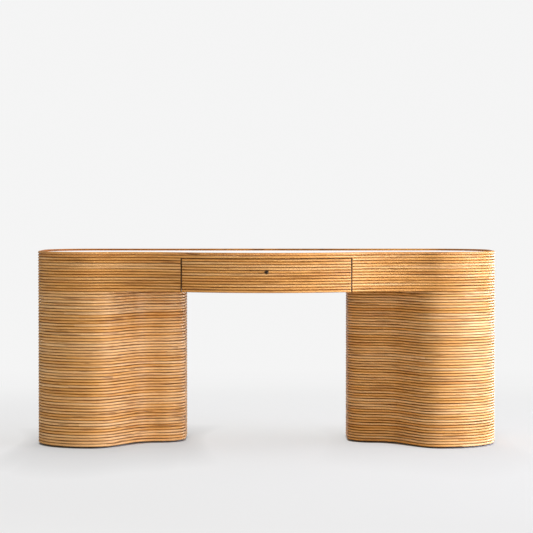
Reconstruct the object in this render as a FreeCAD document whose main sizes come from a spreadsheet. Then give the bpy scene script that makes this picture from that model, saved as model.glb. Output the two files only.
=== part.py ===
import FreeCAD, Part
import math
import os
import Sketcher

# Sizes in millimetres, as they stand in the sheet.
# Widths run along X, depths along Y with the drawer to the front at -Y, heights along Z from the floor.
SIZES = {
    "desk_width": 1800.0,
    "desk_depth": 760.0,
    "desk_height": 760.0,
    "knob_reach": 20.0,
    "lobe_setback": 152.5,
    "bow_radius": 610.0,
    "waist_radius": 420.0,
    "lobe_radius": 140.0,
    "end_radius": 220.0,
    "knee_width": 644.0,
    "knee_recess": 220.0,
    "shoulder_share": 0.415,
    "hollow_share": 0.435,
    "inner_radius": 105.0,
    "apron_height": 152.6,
    "apron_rows": 14,
    "rail_rows": 2,
    "left_rows": 53,
    "right_rows": 57,
    "reed_depth": 5.0,
    "reed_gap": 0.5,
    "glue_gap": 0.3,
    "fit_gap": 0.2,
    "skin_thickness": 9.0,
    "plate_thickness": 18.0,
    "wall_thickness": 15.0,
    "top_thickness": 11.0,
    "soffit_thickness": 15.0,
    "partition_thickness": 15.0,
    "cleat_width": 140.0,
    "cleat_lift": 12.0,
    "glass_thickness": 6.0,
    "glass_gap": 1.5,
    "glass_arris": 0.8,
    "pad_height": 0.8,
    "pad_radius": 5.0,
    "glide_height": 6.0,
    "glide_radius": 14.0,
    "glide_inset": 62.0,
    "bolt_inset": 90.0,
    "bolt_radius": 4.0,
    "bolt_tail": 4.0,
    "flange_thickness": 1.6,
    "sleeve_wall": 1.2,
    "bay_width": 656.0,
    "drawer_gap": 3.0,
    "front_thickness": 18.0,
    "box_lift": 8.0,
    "box_height": 95.0,
    "side_thickness": 12.0,
    "bottom_thickness": 6.0,
    "bottom_lift": 10.0,
    "groove_depth": 6.0,
    "slide_setback": 130.0,
    "slide_rear": 180.0,
    "slide_width": 12.7,
    "slide_height": 35.0,
    "slide_sheet": 1.2,
    "cage_length": 130.0,
    "cage_sheet": 0.8,
    "ball_radius": 2.3,
    "ball_play": 0.25,
    "knob_drop": 73.0,
    "knob_radius": 8.0,
    "knob_bore": 12.0,
    "screw_radius": 1.8,
    "screw_head": 0.8,
    "fixed_screw": 13.0,
    "moving_screw": 10.0,
    "overcut": 5.0,
}


class Dim:
    """A length that carries its number and the sheet expression it follows."""

    def __init__(self, number, text):
        self.number = number
        self.text = text

    def join(self, sign, other, number):
        return Dim(number, f"({self.text} {sign} {other.text})")

    def __add__(self, other):
        other = dim(other)
        return self.join("+", other, self.number + other.number)

    def __sub__(self, other):
        other = dim(other)
        return self.join("-", other, self.number - other.number)

    def __mul__(self, other):
        other = dim(other)
        return self.join("*", other, self.number * other.number)

    def __truediv__(self, other):
        other = dim(other)
        return self.join("/", other, self.number / other.number)

    def __neg__(self):
        return dim(0) - self


def dim(value):
    return value if isinstance(value, Dim) else Dim(float(value), f"({float(value)})")


def root(value):
    return Dim(math.sqrt(value.number), f"sqrt({value.text})")


class Sizes:
    """The sheet's sizes, one attribute each."""


def fill_sheet():
    sheet = doc.addObject("Spreadsheet::Sheet", "Sizes")
    size = Sizes()
    for row, (name, number) in enumerate(SIZES.items(), 1):
        sheet.set(f"A{row}", name)
        sheet.set(f"B{row}", str(number))
        sheet.setAlias(f"B{row}", name)
        setattr(size, name, Dim(number, "Sizes." + name))
    doc.recompute()
    return size


doc = FreeCAD.newDocument("Desk")
size = fill_sheet()

# Plan positions. The footprint, knob included, is centred on the origin.
half_width = size.desk_width / 2
back_y = (size.desk_depth + size.knob_reach) / 2
bow_y = back_y - size.desk_depth
lobe_y = bow_y + size.lobe_setback
knee_y = lobe_y + size.knee_recess
inner_x = size.knee_width / 2
lobe_x = half_width - size.end_radius
end_y = lobe_y + size.end_radius
bow_centre_y = bow_y + size.bow_radius
step_run = lobe_x - inner_x - size.inner_radius
shoulder_radius = step_run * size.shoulder_share
hollow_radius = step_run * size.hollow_share

# Levels.
pitch = size.apron_height / size.apron_rows
apron_z = size.desk_height - size.apron_height
rim_z = size.desk_height - pitch
rail_z = size.desk_height - pitch * size.rail_rows
panel_z = rim_z - size.top_thickness
plate_z = apron_z - size.plate_thickness
base_z = size.glide_height
rim_size = pitch - size.glue_gap
knob_z = size.desk_height - size.knob_drop

# Insets of the hidden faces from the crest line of the reeds.
core = size.reed_depth + size.glue_gap
wall_inset = core + size.wall_thickness
inside_wall = wall_inset + size.fit_gap
inside_skin = core + size.skin_thickness + size.fit_gap

# The drawer, its bay and its slides.
bay_half = size.bay_width / 2
partition_x = bay_half + size.partition_thickness
front_half = bay_half - size.drawer_gap
front_top = panel_z - size.drawer_gap
front_inner = size.bow_radius - core - size.front_thickness
box_half = bay_half - size.slide_width
side_x = box_half - size.side_thickness
box_z = apron_z + size.box_lift
bottom_z = box_z + size.bottom_lift
slide_front = bow_y + size.slide_setback
slide_length = size.desk_depth - size.slide_setback - size.slide_rear
slide_travel = slide_length - size.cage_length
slide_back = slide_front + slide_length
slide_z = box_z + size.box_height / 2
box_back = slide_back + size.side_thickness
side_front = bow_centre_y - root(front_inner * front_inner - side_x * side_x) - size.groove_depth


def origin_part(body, role):
    return next(item for item in body.Origin.OriginFeatures if item.Role == role)


def new_body(name, group=False):
    body = doc.addObject("PartDesign::Body", name)
    body.AllowCompound = group
    return body


def new_sketch(body, name, plane, level=dim(0)):
    sketch = body.newObject("Sketcher::SketchObject", name)
    sketch.AttachmentSupport = [(origin_part(body, plane), "")]
    sketch.MapMode = "FlatFace"
    sketch.AttachmentOffset = FreeCAD.Placement(FreeCAD.Vector(0, 0, level.number), FreeCAD.Rotation())
    sketch.setExpression("AttachmentOffset.Base.z", level.text)
    return sketch


def plan(body, name, level):
    return new_sketch(body, name, "XY_Plane", level)


def front_view(body, name, y):
    return new_sketch(body, name, "XZ_Plane", -y)


def side_view(body, name, x=dim(0)):
    return new_sketch(body, name, "YZ_Plane", x)


def bind(sketch, length, *constraint):
    index = sketch.addConstraint(Sketcher.Constraint(*constraint, length.number))
    sketch.setExpression(f"Constraints[{index}]", length.text)


def rule(sketch, *constraint):
    sketch.addConstraint(Sketcher.Constraint(*constraint))


def place(sketch, item, point, x, y):
    bind(sketch, x, "DistanceX", -1, 1, item, point)
    bind(sketch, y, "DistanceY", -1, 1, item, point)


def flat(x, y):
    return FreeCAD.Vector(x, y, 0)


def polygon(sketch, points):
    """Closed straight-sided line with every corner placed by the sheet."""
    points = [(dim(x), dim(y)) for x, y in points]
    items = []
    for start, end in zip(points, points[1:] + points[:1]):
        line = Part.LineSegment(flat(start[0].number, start[1].number), flat(end[0].number, end[1].number))
        items.append(sketch.addGeometry(line))
    for item, after in zip(items, items[1:] + items[:1]):
        rule(sketch, "Coincident", item, 2, after, 1)
    for item, (x, y) in zip(items, points):
        place(sketch, item, 1, x, y)


def rectangle(sketch, x0, y0, x1, y1):
    polygon(sketch, [(x0, y0), (x1, y0), (x1, y1), (x0, y1)])


def circles(sketch, points, radius):
    for x, y in points:
        circle = Part.Circle(flat(x.number, y.number), FreeCAD.Vector(0, 0, 1), radius.number)
        item = sketch.addGeometry(circle)
        bind(sketch, radius, "Radius", item)
        place(sketch, item, 3, x, y)


def pad(body, sketch, length):
    feature = body.newObject("PartDesign::Pad", "Pad")
    feature.Profile = sketch
    feature.setExpression("Length", length.text)
    body.Tip = feature
    return feature


def pocket(body, sketch, length, forward=False):
    """Cut away from the sketch against its normal, or along it when forward."""
    feature = body.newObject("PartDesign::Pocket", "Pocket")
    feature.Profile = sketch
    feature.Reversed = forward
    feature.setExpression("Length", length.text)
    body.Tip = feature
    return feature


def revolve(body, sketch, axis, angle=360.0):
    """Turn a sketch about a construction line that is drawn in it from one point to another."""
    (x0, y0), (x1, y1) = axis
    line = Part.LineSegment(flat(x0.number, y0.number), flat(x1.number, y1.number))
    item = sketch.addGeometry(line, True)
    place(sketch, item, 1, x0, y0)
    place(sketch, item, 2, x1, y1)
    feature = body.newObject("PartDesign::Revolution", "Revolution")
    feature.Profile = sketch
    feature.ReferenceAxis = (sketch, ["Axis0"])
    feature.Angle = angle
    feature.Midplane = True
    body.Tip = feature
    return feature


def sweep(body, profile, spine):
    feature = body.newObject("PartDesign::AdditivePipe", "Sweep")
    feature.Profile = profile
    feature.Spine = (spine, [])
    feature.Mode = "Frenet"
    body.Tip = feature
    return feature


def repeat(body, feature, axis, count, step, second=None):
    """Row of copies along one axis; second gives another axis, count and step for a grid."""
    pattern = body.newObject("PartDesign::LinearPattern", "Rows")
    pattern.Originals = [feature]
    pattern.Direction = (origin_part(body, axis), [""])
    pattern.setExpression("Length", (step * (count - 1)).text)
    pattern.setExpression("Occurrences", count.text)
    if second:
        axis, count, step = second
        pattern.Direction2 = (origin_part(body, axis), [""])
        pattern.setExpression("Length2", (step * (count - 1)).text)
        pattern.setExpression("Occurrences2", count.text)
    body.Tip = pattern
    return pattern


class Loop:
    """Closed run of arcs and straights, each tangent to the next; side -1 draws it mirrored in X."""

    def __init__(self, sketch, side=1):
        self.sketch = sketch
        self.side = side
        self.runs = []

    def line(self, x0, y0, x1, y1):
        segment = Part.LineSegment(flat(self.side * x0, y0), flat(self.side * x1, y1))
        item = self.sketch.addGeometry(segment)
        self.runs.append((item, 1, 2))
        return item

    def arc(self, centre, radius, start, end, hollow=False):
        """Arc from angle start to angle end, anticlockwise, or clockwise when hollow."""
        if self.side < 0:
            start, end = math.pi - start, math.pi - end
        clockwise = hollow == (self.side > 0)
        first, last = (end, start) if clockwise else (start, end)
        while last <= first:
            last += 2 * math.pi
        middle = flat(self.side * centre[0], centre[1])
        circle = Part.Circle(middle, FreeCAD.Vector(0, 0, 1), radius.number)
        item = self.sketch.addGeometry(Part.ArcOfCircle(circle, first, last))
        self.runs.append((item, 2, 1) if clockwise else (item, 1, 2))
        bind(self.sketch, radius, "Radius", item)
        return item

    def close(self):
        for run, after in zip(self.runs, self.runs[1:] + self.runs[:1]):
            rule(self.sketch, "Tangent", run[0], run[2], after[0], after[1])


def direction(start, end):
    return math.atan2(end[1] - start[1], end[0] - start[0])


def front_crossing(a, a_radius, b, b_radius):
    """Of the two points at given distances from a and b, the one further to the front."""
    span = math.hypot(b[0] - a[0], b[1] - a[1])
    along = (a_radius ** 2 - b_radius ** 2 + span ** 2) / (2 * span)
    off = math.sqrt(a_radius ** 2 - along ** 2)
    ux, uy = (b[0] - a[0]) / span, (b[1] - a[1]) / span
    points = [(a[0] + along * ux - k * off * uy, a[1] + along * uy + k * off * ux) for k in (1, -1)]
    return min(points, key=lambda point: point[1])


def desk_outline(sketch, inset):
    """Plan of the top: round ends, straight back and a front that waves out to a bow in the middle."""
    turn = math.pi / 2
    end = (lobe_x.number, end_y.number)
    lobe = (lobe_x.number, (lobe_y + size.lobe_radius).number)
    back = (lobe_x.number, (back_y - size.end_radius).number)
    bow = (0.0, bow_centre_y.number)
    reach = (size.waist_radius + size.bow_radius).number
    waist = front_crossing(bow, reach, lobe, (size.waist_radius + size.lobe_radius).number)
    side_face = half_width - inset
    back_face = back_y - inset
    end_arc = size.end_radius - inset
    lobe_arc = size.lobe_radius - inset
    waist_arc = size.waist_radius + inset
    to_lobe = direction(waist, lobe)
    to_bow = direction(waist, bow)

    loop = Loop(sketch)
    right = loop.line(side_face.number, end[1], side_face.number, back[1])
    loop.arc(back, end_arc, 0, turn)
    rear = loop.line(back[0], back_face.number, -back[0], back_face.number)
    loop.arc((-back[0], back[1]), end_arc, turn, 2 * turn)
    left = loop.line(-side_face.number, back[1], -side_face.number, end[1])
    left_end = loop.arc((-end[0], end[1]), end_arc, 2 * turn, 3 * turn)
    left_lobe = loop.arc((-lobe[0], lobe[1]), lobe_arc, 3 * turn, -to_lobe)
    loop.arc((-waist[0], waist[1]), waist_arc, math.pi - to_lobe, math.pi - to_bow, hollow=True)
    middle = loop.arc(bow, size.bow_radius - inset, -to_bow, to_bow + math.pi)
    loop.arc(waist, waist_arc, to_bow, to_lobe, hollow=True)
    right_lobe = loop.arc(lobe, lobe_arc, to_lobe + math.pi, 3 * turn)
    right_end = loop.arc(end, end_arc, 3 * turn, 4 * turn)
    loop.close()

    rule(sketch, "Vertical", right)
    rule(sketch, "Vertical", left)
    rule(sketch, "Horizontal", rear)
    bind(sketch, side_face, "DistanceX", -1, 1, right, 1)
    bind(sketch, -side_face, "DistanceX", -1, 1, left, 1)
    bind(sketch, back_face, "DistanceY", -1, 1, rear, 1)
    bind(sketch, end_y, "DistanceY", -1, 1, right_end, 3)
    bind(sketch, end_y, "DistanceY", -1, 1, left_end, 3)
    rule(sketch, "Vertical", right_end, 3, right_lobe, 3)
    rule(sketch, "Vertical", left_end, 3, left_lobe, 3)
    place(sketch, middle, 3, dim(0), bow_centre_y)


def pedestal_outline(side):
    """Plan of one pedestal: it shares the round end and back, and steps back in an S beside the knees."""

    def draw(sketch, inset):
        turn = math.pi / 2
        corner_x = inner_x + size.inner_radius
        end = (lobe_x.number, end_y.number)
        back = (lobe_x.number, (back_y - size.end_radius).number)
        shoulder = (lobe_x.number, (lobe_y + shoulder_radius).number)
        hollow = (corner_x.number, (knee_y - hollow_radius).number)
        corner_y = knee_y + size.inner_radius
        inner_front = (corner_x.number, corner_y.number)
        inner_back = (corner_x.number, (back_y - size.inner_radius).number)
        side_face = half_width - inset
        inner_face = inner_x + inset
        back_face = back_y - inset
        shoulder_arc = shoulder_radius - inset
        hollow_arc = hollow_radius + inset
        span = math.hypot(hollow[0] - shoulder[0], hollow[1] - shoulder[1])
        swing = math.acos((shoulder_radius + hollow_radius).number / span)
        slope = direction(shoulder, hollow) + swing

        loop = Loop(sketch, side)
        outer = loop.line(side_face.number, end[1], side_face.number, back[1])
        loop.arc(back, size.end_radius - inset, 0, turn)
        rear = loop.line(back[0], back_face.number, inner_back[0], back_face.number)
        loop.arc(inner_back, size.inner_radius - inset, turn, 2 * turn)
        inner = loop.line(inner_face.number, inner_back[1], inner_face.number, inner_front[1])
        corner = loop.arc(inner_front, size.inner_radius - inset, 2 * turn, 3 * turn)
        dip = loop.arc(hollow, hollow_arc, turn, slope - math.pi, hollow=True)
        loop.line(
            hollow[0] - hollow_arc.number * math.cos(slope),
            hollow[1] - hollow_arc.number * math.sin(slope),
            shoulder[0] + shoulder_arc.number * math.cos(slope),
            shoulder[1] + shoulder_arc.number * math.sin(slope),
        )
        bulge = loop.arc(shoulder, shoulder_arc, slope, 3 * turn)
        round_end = loop.arc(end, size.end_radius - inset, 3 * turn, 4 * turn)
        loop.close()

        rule(sketch, "Vertical", outer)
        rule(sketch, "Vertical", inner)
        rule(sketch, "Horizontal", rear)
        bind(sketch, side_face * side, "DistanceX", -1, 1, outer, 1)
        bind(sketch, inner_face * side, "DistanceX", -1, 1, inner, 1)
        bind(sketch, back_face, "DistanceY", -1, 1, rear, 1)
        bind(sketch, end_y, "DistanceY", -1, 1, round_end, 3)
        rule(sketch, "Vertical", round_end, 3, bulge, 3)
        rule(sketch, "Vertical", dip, 3, corner, 3)
        bind(sketch, corner_y, "DistanceY", -1, 1, corner, 3)

    return draw


def reed_section(sketch, x, z, height, outward):
    """Half-round reed: flat back at x, bulging by the reed depth to the outward side."""
    half = (height - size.reed_gap) / 2
    depth = size.reed_depth
    radius = (half * half + depth * depth) / (depth * 2)
    centre = x.number + outward * (depth.number - radius.number)
    swing = math.atan2(half.number, depth.number - radius.number)
    facing = 0.0 if outward > 0 else math.pi
    circle = Part.Circle(flat(centre, z.number), FreeCAD.Vector(0, 0, 1), radius.number)
    arc = sketch.addGeometry(Part.ArcOfCircle(circle, facing - swing, facing + swing))
    start, end = (z - half, z + half) if outward > 0 else (z + half, z - half)
    chord = sketch.addGeometry(Part.LineSegment(flat(x.number, end.number), flat(x.number, start.number)))
    rule(sketch, "Coincident", arc, 2, chord, 1)
    rule(sketch, "Coincident", chord, 2, arc, 1)
    place(sketch, chord, 1, x, end)
    place(sketch, chord, 2, x, start)
    bind(sketch, radius, "Radius", arc)


def plate(name, outline, inset, level, thickness):
    body = new_body(name)
    sketch = plan(body, "Outline", level)
    outline(sketch, inset)
    pad(body, sketch, thickness)
    return body


def band(name, outline, outer, inner, level, height):
    """Upright bent board between two insets of an outline."""
    body = new_body(name)
    sketch = plan(body, "Outline", level)
    outline(sketch, outer)
    outline(sketch, inner)
    pad(body, sketch, height)
    return body


def reed_rows(name, outline, side, bottom, row_height, rows):
    """Rows of half-round reed, one over the other, each a ring that follows the outline."""
    body = new_body(name, group=True)
    spine = plan(body, "Run", dim(0))
    outline(spine, size.reed_depth)
    section = front_view(body, "Section", end_y)
    chord_x = (half_width - size.reed_depth) * side
    reed_section(section, chord_x, bottom + row_height / 2, row_height, side)
    spine.setExpression("AttachmentOffset.Base.z", (bottom + row_height / 2).text)
    ring = sweep(body, section, spine)
    repeat(body, ring, "Z_Axis", rows, row_height)
    return body


def drill(body, level, points, radius, depth):
    """Round holes down from a level."""
    sketch = plan(body, "Holes", level)
    circles(sketch, points, radius)
    pocket(body, sketch, depth)


def bay_cut(body, top, bottom):
    """Clear the drawer bay through the front of a piece."""
    sketch = plan(body, "Bay", top)
    rectangle(sketch, -bay_half, bow_y - size.overcut, bay_half, end_y)
    pocket(body, sketch, top - bottom + size.overcut)


def keep_right_of(body, side, x, top, depth):
    """Cut away everything on the inner side of a fore-and-aft line."""
    sketch = plan(body, "Trim", top)
    past = size.overcut
    rectangle(sketch, x * side, bow_y - past, (half_width + past) * -side, back_y + past)
    pocket(body, sketch, depth)


def glide_points(side):
    rear = back_y - size.glide_inset
    corner = inner_x + size.inner_radius
    return [
        (lobe_x * side, lobe_y + size.glide_inset),
        ((half_width - size.glide_inset) * side, end_y),
        (lobe_x * side, rear),
        (corner * side, rear),
        (corner * side, knee_y + size.glide_inset),
    ]


def bolt_points(side):
    rear = back_y - size.bolt_inset
    corner = inner_x + size.inner_radius
    return [
        (lobe_x * side, lobe_y + size.bolt_inset),
        (lobe_x * side, rear),
        (corner * side, rear),
        (corner * side, knee_y + size.bolt_inset),
    ]


def glides(name, side):
    """Round feet, each with a pin up into the base."""
    body = new_body(name, group=True)
    feet = plan(body, "Feet", dim(0))
    circles(feet, glide_points(side), size.glide_radius)
    foot = pad(body, feet, size.glide_height)
    pins = plan(body, "Pins", size.glide_height)
    circles(pins, glide_points(side), size.screw_radius)
    pad(body, pins, size.plate_thickness / 2)
    return body


def bolts(name, side):
    """Flanged hexagon bolts down through the apron floor and the pedestal top."""
    body = new_body(name, group=True)
    floor_z = apron_z + size.soffit_thickness
    reach = size.soffit_thickness + size.plate_thickness + size.bolt_tail
    shanks = plan(body, "Shanks", floor_z - reach)
    circles(shanks, bolt_points(side), size.bolt_radius)
    pad(body, shanks, reach)
    flanges = plan(body, "Flanges", floor_z)
    circles(flanges, bolt_points(side), size.bolt_radius * 2.2)
    pad(body, flanges, size.flange_thickness)
    heads = plan(body, "Heads", floor_z + size.flange_thickness)
    for x, y in bolt_points(side):
        reach_out = size.bolt_radius * 1.8
        corners = [(math.cos(k * math.pi / 3), math.sin(k * math.pi / 3)) for k in range(6)]
        polygon(heads, [(x + reach_out * cx, y + reach_out * cy) for cx, cy in corners])
    pad(body, heads, size.bolt_radius * 1.3)
    return body


def tee_nuts(name, side):
    """Threaded sleeves in the pedestal top, flanged underneath."""
    body = new_body(name, group=True)
    bore = size.bolt_radius + size.fit_gap
    sleeves = plan(body, "Sleeves", plate_z)
    circles(sleeves, bolt_points(side), size.bolt_radius + size.sleeve_wall)
    circles(sleeves, bolt_points(side), bore)
    pad(body, sleeves, size.plate_thickness * 0.6)
    flanges = plan(body, "Flanges", plate_z - size.flange_thickness)
    circles(flanges, bolt_points(side), size.bolt_radius * 2.6)
    circles(flanges, bolt_points(side), bore)
    pad(body, flanges, size.flange_thickness)
    return body


def pedestal(hand, side, rows):
    outline = pedestal_outline(side)
    clad_height = apron_z - base_z
    row_height = clad_height / rows
    shell = band(f"pedestal_skin_{hand}", outline, core, core + size.skin_thickness, base_z, clad_height)
    base = plate(f"pedestal_base_{hand}", outline, inside_skin, base_z, size.plate_thickness)
    drill(base, base_z + size.plate_thickness, glide_points(side), size.screw_radius + size.fit_gap,
          size.plate_thickness)
    middle_z = (base_z + apron_z - size.plate_thickness) / 2
    former = plate(f"pedestal_former_{hand}", outline, inside_skin, middle_z, size.plate_thickness)
    lid = plate(f"pedestal_top_{hand}", outline, inside_skin, plate_z, size.plate_thickness)
    sleeve = size.bolt_radius + size.sleeve_wall + size.fit_gap
    drill(lid, apron_z, bolt_points(side), sleeve, size.plate_thickness)
    reeds = reed_rows(f"pedestal_reeds_{hand}", outline, side, base_z, row_height, rows)
    feet = glides(f"glides_{hand}", side)
    return [shell, base, former, lid, reeds, feet,
            bolts(f"pedestal_bolts_{hand}", side), tee_nuts(f"pedestal_tee_nuts_{hand}", side)]


def apron_wall(name, side):
    """Bent board behind the apron reeds, from the drawer bay round the end to the middle of the back."""
    body = band(name, desk_outline, core, wall_inset, apron_z, panel_z - apron_z)
    bay_cut(body, panel_z, apron_z)
    keep_right_of(body, side, dim(0), panel_z, panel_z - apron_z + size.overcut)
    return body


def soffit(name, side):
    """Floor of the apron over one pedestal and its overhang."""
    body = plate(name, desk_outline, inside_wall, apron_z, size.soffit_thickness)
    top = apron_z + size.soffit_thickness
    keep_right_of(body, side, partition_x + size.fit_gap, top, size.soffit_thickness + size.overcut)
    drill(body, top, bolt_points(side), size.bolt_radius + size.fit_gap, size.soffit_thickness)
    return body


def screw_holes(body, x, side, rows, radius, depth, outward):
    """Pilot holes for the slide screws, from an upright face at x away from or toward the middle."""
    count, first, step = rows
    sketch = side_view(body, "Screws", x * side)
    points = [(slide_front + first + step * k, slide_z) for k in range(count)]
    circles(sketch, points, radius)
    pocket(body, sketch, depth, forward=(side > 0) == outward)


fixed_rows = (4, slide_length * 0.08, slide_length * 0.28)
moving_rows = (3, slide_length * 0.06, slide_length * 0.4)


def partition(name, side):
    """Fore-and-aft board beside the drawer, shaped to the curved wall in front."""
    height = panel_z - apron_z
    body = plate(name, desk_outline, inside_wall, apron_z, height)
    keep_right_of(body, side, bay_half, panel_z, height + size.overcut)
    outer = plan(body, "Outer", panel_z)
    past = size.overcut
    rectangle(outer, partition_x * side, bow_y - past, (half_width + past) * side, back_y + past)
    pocket(body, outer, height + past)
    screw_holes(body, bay_half, side, fixed_rows, size.screw_radius + size.fit_gap,
                size.fixed_screw - size.slide_sheet / 2, True)
    return body


def back_cleat():
    """Block across the joint of the two apron walls."""
    body = new_body("apron_back_cleat")
    sketch = plan(body, "Block", apron_z + size.cleat_lift)
    rear = back_y - wall_inset
    rectangle(sketch, size.cleat_width / -2, rear - size.plate_thickness, size.cleat_width / 2, rear)
    pad(body, sketch, panel_z - apron_z - size.cleat_lift)
    return body


def rim_reed():
    """Round pole bent all round the edge of the top."""
    body = new_body("rim_reed")
    level = size.desk_height - rim_size / 2
    spine = plan(body, "Run", level)
    desk_outline(spine, rim_size / 2)
    section = front_view(body, "Section", end_y)
    circles(section, [(half_width - rim_size / 2, level)], rim_size / 2)
    sweep(body, section, spine)
    return body


def apron_reeds():
    body = reed_rows("apron_reeds", desk_outline, 1, apron_z, pitch, size.apron_rows - 1)
    bay_cut(body, rail_z, apron_z)
    return body


def glass_top():
    body = plate("desktop_glass", desk_outline, rim_size + size.glass_gap, rim_z + size.pad_height,
                 size.glass_thickness)
    doc.recompute()
    tip = body.Tip
    faces = tip.Shape.Faces
    upper = max(range(len(faces)), key=lambda k: faces[k].CenterOfMass.z)
    arris = body.newObject("PartDesign::Chamfer", "Arris")
    arris.Base = (tip, [f"Face{upper + 1}"])
    arris.setExpression("Size", size.glass_arris.text)
    body.Tip = arris
    return body


def glass_pads():
    body = new_body("glass_pads", group=True)
    sketch = plan(body, "Pads", rim_z)
    rear = back_y - size.glide_inset
    front = lobe_y + size.glide_inset
    columns = [lobe_x * k for k in (-1, -0.5, 0, 0.5, 1)]
    circles(sketch, [(x, y) for x in columns for y in (front, rear)], size.pad_radius)
    pad(body, sketch, size.pad_height)
    return body


def bow_piece(sketch, outer, half, inner=None, rear=None):
    """Plan of a piece with the bow of the front: closed behind by a second arc or a straight line."""
    middle = bow_centre_y.number
    swing = math.asin(half.number / outer.number)
    circle = Part.Circle(flat(0, middle), FreeCAD.Vector(0, 0, 1), outer.number)
    front = sketch.addGeometry(Part.ArcOfCircle(circle, -math.pi / 2 - swing, -math.pi / 2 + swing))
    front_y = middle - math.sqrt(outer.number ** 2 - half.number ** 2)
    if inner:
        rear_y = middle - math.sqrt(inner.number ** 2 - half.number ** 2)
        swing = math.asin(half.number / inner.number)
        circle = Part.Circle(flat(0, middle), FreeCAD.Vector(0, 0, 1), inner.number)
        behind = sketch.addGeometry(Part.ArcOfCircle(circle, -math.pi / 2 - swing, -math.pi / 2 + swing))
    else:
        rear_y = rear.number
        line = Part.LineSegment(flat(-half.number, rear_y), flat(half.number, rear_y))
        behind = sketch.addGeometry(line)
    right = sketch.addGeometry(Part.LineSegment(flat(half.number, front_y), flat(half.number, rear_y)))
    left = sketch.addGeometry(Part.LineSegment(flat(-half.number, rear_y), flat(-half.number, front_y)))
    rule(sketch, "Coincident", front, 2, right, 1)
    rule(sketch, "Coincident", right, 2, behind, 2)
    rule(sketch, "Coincident", behind, 1, left, 1)
    rule(sketch, "Coincident", left, 2, front, 1)
    rule(sketch, "Vertical", right)
    rule(sketch, "Vertical", left)
    bind(sketch, half, "DistanceX", -1, 1, right, 1)
    bind(sketch, -half, "DistanceX", -1, 1, left, 1)
    place(sketch, front, 3, dim(0), bow_centre_y)
    bind(sketch, outer, "Radius", front)
    if inner:
        rule(sketch, "Coincident", behind, 3, front, 3)
        bind(sketch, inner, "Radius", behind)
    else:
        rule(sketch, "Horizontal", behind)
        bind(sketch, rear, "DistanceY", -1, 1, behind, 1)


def knob_hole(body, radius):
    sketch = front_view(body, "KnobHole", bow_y - size.overcut)
    circles(sketch, [(dim(0), knob_z)], radius)
    pocket(body, sketch, size.front_thickness + core + size.overcut * 2)


def drawer_front():
    """Bowed board, grooved behind for the bottom and housed for the two sides."""
    body = new_body("drawer_front_board")
    sketch = plan(body, "Bow", apron_z)
    bow_piece(sketch, size.bow_radius - core, front_half, inner=front_inner)
    pad(body, sketch, front_top - apron_z)
    fit = size.fit_gap
    for side in (-1, 1):
        housing = plan(body, "Housing", box_z + size.box_height + fit)
        rectangle(housing, (side_x - fit) * side, side_front - fit,
                  (box_half + fit) * side, side_front + size.front_thickness * 2)
        pocket(body, housing, size.box_height + fit * 2)
    groove = plan(body, "Groove", bottom_z + size.bottom_thickness + fit)
    bow_piece(groove, front_inner + size.groove_depth + fit, side_x, inner=front_inner - size.overcut)
    pocket(body, groove, size.bottom_thickness + fit * 2)
    knob_hole(body, size.screw_radius + fit * 2)
    return body


def drawer_front_reeds():
    """Reeds on the bowed front, cut off square at the gaps beside the drawer."""
    body = new_body("drawer_front_reeds", group=True)
    rows = size.apron_rows - size.rail_rows
    row_height = (rail_z - size.drawer_gap * 0.7 - apron_z) / rows
    section = side_view(body, "Section")
    reed_section(section, bow_y + size.reed_depth, apron_z + row_height / 2, row_height, -1)
    span = 2.3 * math.degrees(math.asin(front_half.number / size.bow_radius.number))
    reed = revolve(body, section, ((bow_centre_y, apron_z), (bow_centre_y, rail_z)), span)
    repeat(body, reed, "Z_Axis", rows, row_height)
    ends = plan(body, "Ends", size.desk_height)
    for side in (-1, 1):
        rectangle(ends, front_half * side, bow_y - size.overcut, half_width * side, bow_centre_y)
    pocket(body, ends, size.apron_height + size.overcut)
    knob_hole(body, size.knob_radius * 0.6 + size.fit_gap)
    return body


def drawer_side(name, side):
    """Side of the drawer box, grooved for the bottom and for the back."""
    body = new_body(name)
    sketch = plan(body, "Side", box_z)
    rectangle(sketch, side_x * side, side_front, box_half * side, box_back + size.side_thickness / 2)
    pad(body, sketch, size.box_height)
    fit = size.fit_gap
    deep = side_x + size.groove_depth + fit
    groove = plan(body, "Groove", bottom_z + size.bottom_thickness + fit)
    rectangle(groove, (side_x - size.overcut) * side, side_front - size.overcut,
              deep * side, box_back + size.side_thickness)
    pocket(body, groove, size.bottom_thickness + fit * 2)
    housing = plan(body, "Housing", box_z + size.box_height)
    rectangle(housing, (side_x - size.overcut) * side, box_back - size.side_thickness - fit,
              deep * side, box_back + fit)
    pocket(body, housing, size.box_height - size.bottom_lift)
    screw_holes(body, box_half, side, moving_rows, size.screw_radius + fit,
                size.moving_screw - size.slide_sheet / 2, False)
    return body


def drawer_back():
    body = new_body("drawer_back")
    half = side_x + size.groove_depth
    level = bottom_z + size.bottom_thickness
    sketch = plan(body, "Back", level)
    rectangle(sketch, -half, box_back - size.side_thickness, half, box_back)
    pad(body, sketch, box_z + size.box_height - level)
    return body


def drawer_bottom():
    """Thin panel with a bowed front edge, let into the front and both sides."""
    body = new_body("drawer_bottom")
    sketch = plan(body, "Bottom", bottom_z)
    half = side_x + size.groove_depth
    inner_front = root(front_inner * front_inner - side_x * side_x)
    edge = front_inner + size.groove_depth
    bow_piece(sketch, edge, side_x - size.fit_gap, rear=box_back)
    pad(body, sketch, size.bottom_thickness)
    tongues = plan(body, "Tongues", bottom_z)
    for side in (-1, 1):
        rectangle(tongues, (side_x - size.overcut) * side, bow_centre_y - inner_front + size.groove_depth,
                  half * side, box_back)
    pad(body, tongues, size.bottom_thickness)
    return body


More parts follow.
